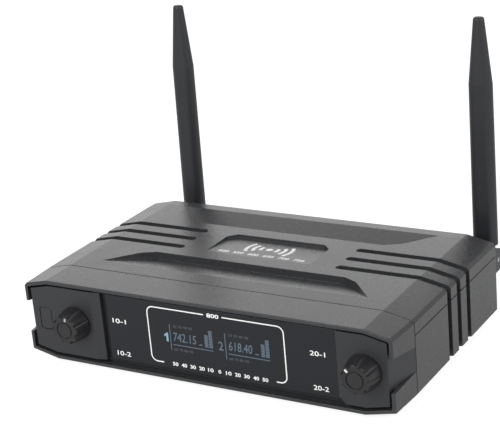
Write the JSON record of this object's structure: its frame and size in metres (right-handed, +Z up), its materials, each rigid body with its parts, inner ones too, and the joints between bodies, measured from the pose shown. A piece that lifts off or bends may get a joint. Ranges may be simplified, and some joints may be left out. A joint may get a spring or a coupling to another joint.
{
  "type": "wireless receiver unit",
  "caption": "Two-channel wireless microphone receiver with folding antennas, end knobs, a power key and a display window.",
  "frame": {"origin": "under the middle of the whole unit, on the surface that its feet stand on", "axes": "+X to the right as the front is seen, +Y from the front to the back, +Z up"},
  "size_m": [0.21, 0.1608, 0.1544],
  "materials": {
    "case_plastic": "fine-grained matte",
    "panel_plastic": "fine-grained matte",
    "fascia_plastic": "satin",
    "window_acrylic": "polished, dark tinted",
    "display_glass": "polished",
    "circuit_board": "solder mask",
    "led_plastic": "clear tinted",
    "button_plastic": "satin",
    "switch_plastic": "moulded",
    "knob_plastic": "satin",
    "plain_steel": "zinc plated",
    "control_housing": "stamped",
    "nickel": "nickel plated",
    "chip_plastic": "moulded epoxy",
    "capacitor_sleeve": "shrunk sleeve",
    "heat_sink": "extruded",
    "header_plastic": "moulded",
    "ribbon_jacket": "ribbed",
    "foot_rubber": "moulded",
    "socket_plastic": "moulded",
    "tin_plate": "bright tin",
    "antenna_plastic": "soft satin",
    "cable_jacket": "extruded"
  },
  "bodies": {
    "case": {"top_cover": "case_plastic", "bottom_shell": "case_plastic", "front_bezel": "case_plastic", "rear_panel": "panel_plastic", "front_fascia": "fascia_plastic", "display_window": "window_acrylic", "display_module": "display_glass", "front_board": "circuit_board", "main_board": "circuit_board", "indicator_leds": "led_plastic", "power_switch": "switch_plastic", "power_inlet": "switch_plastic", "case_screws": "plain_steel", "board_screws": "plain_steel", "fascia_screws": "plain_steel", "front_board_screws": "plain_steel", "potentiometer_left": "control_housing", "potentiometer_right": "control_housing", "pot_nut_left": "nickel", "pot_nut_right": "nickel", "audio_socket_nut": "nickel", "power_inlet_pin": "nickel", "antenna_nut_left": "nickel", "antenna_nut_right": "nickel", "audio_chips": "chip_plastic", "receiver_chip_left": "chip_plastic", "receiver_chip_right": "chip_plastic", "capacitors": "capacitor_sleeve", "power_regulator": "heat_sink", "board_headers": "header_plastic", "front_ribbon": "ribbon_jacket", "rubber_feet": "foot_rubber", "audio_socket": "socket_plastic", "receiver_shield_left": "tin_plate", "receiver_shield_right": "tin_plate", "antenna_base_left": "antenna_plastic", "antenna_base_right": "antenna_plastic", "antenna_lead_left": "cable_jacket", "antenna_lead_right": "cable_jacket"},
    "volume_left": {"volume_knob_left": "knob_plastic", "pot_shaft_left": "plain_steel"},
    "volume_right": {"volume_knob_right": "knob_plastic", "pot_shaft_right": "plain_steel"},
    "power_key": {"power_button": "button_plastic", "switch_plunger": "switch_plastic"},
    "swivel_left": {"antenna_elbow_left": "antenna_plastic", "hinge_pin_left": "plain_steel"},
    "swivel_right": {"antenna_elbow_right": "antenna_plastic", "hinge_pin_right": "plain_steel"},
    "arm_left": {"antenna_blade_left": "antenna_plastic"},
    "arm_right": {"antenna_blade_right": "antenna_plastic"}
  },
  "joints": [
    {"name": "volume_left_turn", "type": "hinge", "parent": "case", "child": "volume_left", "pos_m": [-0.0742, -0.08045, 0.02343], "axis": [0, 1, 0], "range_deg": [-160, 140]},
    {"name": "volume_right_turn", "type": "hinge", "parent": "case", "child": "volume_right", "pos_m": [0.0884, -0.08045, 0.02343], "axis": [0, 1, 0], "range_deg": [-105, 195]},
    {"name": "power_press", "type": "slide", "parent": "case", "child": "power_key", "axis": [0, 1, 0], "range_m": [0, 0.0015], "stiffness_N_per_m": 800},
    {"name": "antenna_left_swivel", "type": "hinge", "parent": "case", "child": "swivel_left", "pos_m": [-0.091, 0.05325, 0.02343], "axis": [0, 1, 0], "range_deg": [-91.1, 88.9]},
    {"name": "antenna_left_fold", "type": "hinge", "parent": "swivel_left", "child": "arm_left", "pos_m": [-0.091, 0.07425, 0.02343], "axis": [0.9998, 0, -0.0192], "range_deg": [-90, 0]},
    {"name": "antenna_right_swivel", "type": "hinge", "parent": "case", "child": "swivel_right", "pos_m": [0.091, 0.05325, 0.02343], "axis": [0, 1, 0], "range_deg": [-90, 90]},
    {"name": "antenna_right_fold", "type": "hinge", "parent": "swivel_right", "child": "arm_right", "pos_m": [0.091, 0.07425, 0.02343], "axis": [1, 0, 0], "range_deg": [-90, 0]}
  ]
}
